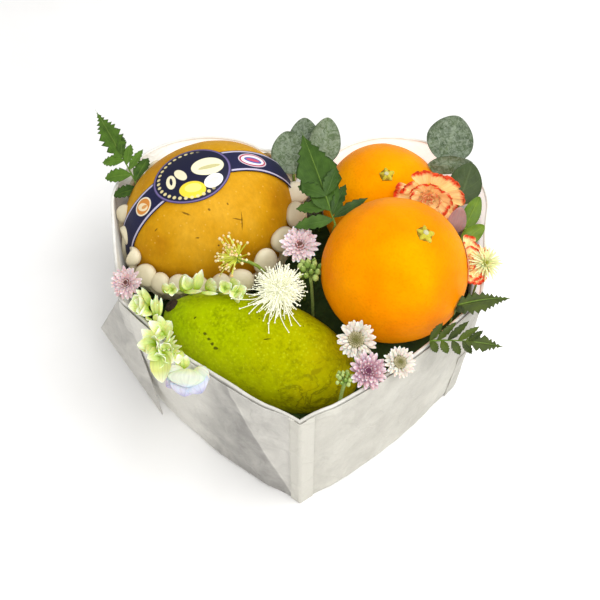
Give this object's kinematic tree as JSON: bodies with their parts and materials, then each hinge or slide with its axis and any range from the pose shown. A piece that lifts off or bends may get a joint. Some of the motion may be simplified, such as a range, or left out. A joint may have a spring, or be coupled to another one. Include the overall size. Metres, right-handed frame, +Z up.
{
  "type": "fruit gift box",
  "caption": "Heart-shaped tray wrapped in white paper, filled with a brown pear in a foam cup with a printed band, citrus fruit, a green fruit, cut flowers and fern.",
  "frame": {"origin": "on the flat underside of the tray, midway between its two sides and level with the fruit's middle, where it stands on a surface", "axes": "+Z up, -Y towards the tray's pointed tip, +X to the right seen from the tip"},
  "size_m": [0.261, 0.2412, 0.1381],
  "materials": {
    "tray_card": "white coated card",
    "paper": "matt white wrapping paper",
    "tissue": "crumpled dark green tissue paper",
    "pear_skin": "brown russet fruit skin",
    "band_print": "printed dark blue paper band",
    "foam": "soft white packing foam",
    "citrus_skin": "pored citrus peel",
    "calyx": "dry green calyx",
    "green_skin": "smooth green fruit skin",
    "scar": "dry stalk scar",
    "petal_pink": "pale pink petals",
    "petal_white": "white petals",
    "petal_mauve": "mauve petals",
    "petal_yellow": "pale yellow petals",
    "petal_peach": "peach and cream frilled petals",
    "petal_green": "green-white petals",
    "petal_blue": "blue-white petals",
    "bud": "green buds",
    "fern": "dark green fronds",
    "leaf": "grey-green waxy leaves"
  },
  "bodies": {
    "root": {"tray": "tray_card", "paper_left": "paper", "paper_right": "paper", "paper_tip_strip": "paper", "paper_corner_fold": "paper", "tissue_bed": "tissue", "pear": "pear_skin", "band": "band_print", "foam_cup": "foam", "citrus_front": "citrus_skin", "citrus_back": "citrus_skin", "calyx_front": "calyx", "calyx_back": "calyx", "green_fruit": "green_skin", "green_fruit_scar": "scar", "mum_left": "petal_pink", "mum_front_white": "petal_white", "mum_mauve": "petal_mauve", "mum_small": "petal_white", "mum_centre": "petal_pink", "mum_right": "petal_yellow", "carnation_top": "petal_peach", "carnation_right": "petal_peach", "filament_flower": "petal_white", "umbel_flower": "petal_green", "florets_left": "petal_green", "florets_upper": "petal_green", "floret_blue": "petal_blue", "buds_centre": "bud", "buds_front": "bud", "fern_left": "fern", "fern_centre": "fern", "fern_right_high": "fern", "fern_right_low": "fern", "leaf_round_a": "leaf", "leaf_round_b": "leaf", "leaf_round_c": "leaf", "leaf_right_a": "leaf", "leaf_right_b": "leaf", "leaf_right_c": "leaf", "leaf_small_a": "leaf", "leaf_small_b": "leaf", "petal_mauve": "petal_mauve"}
  },
  "joints": []
}
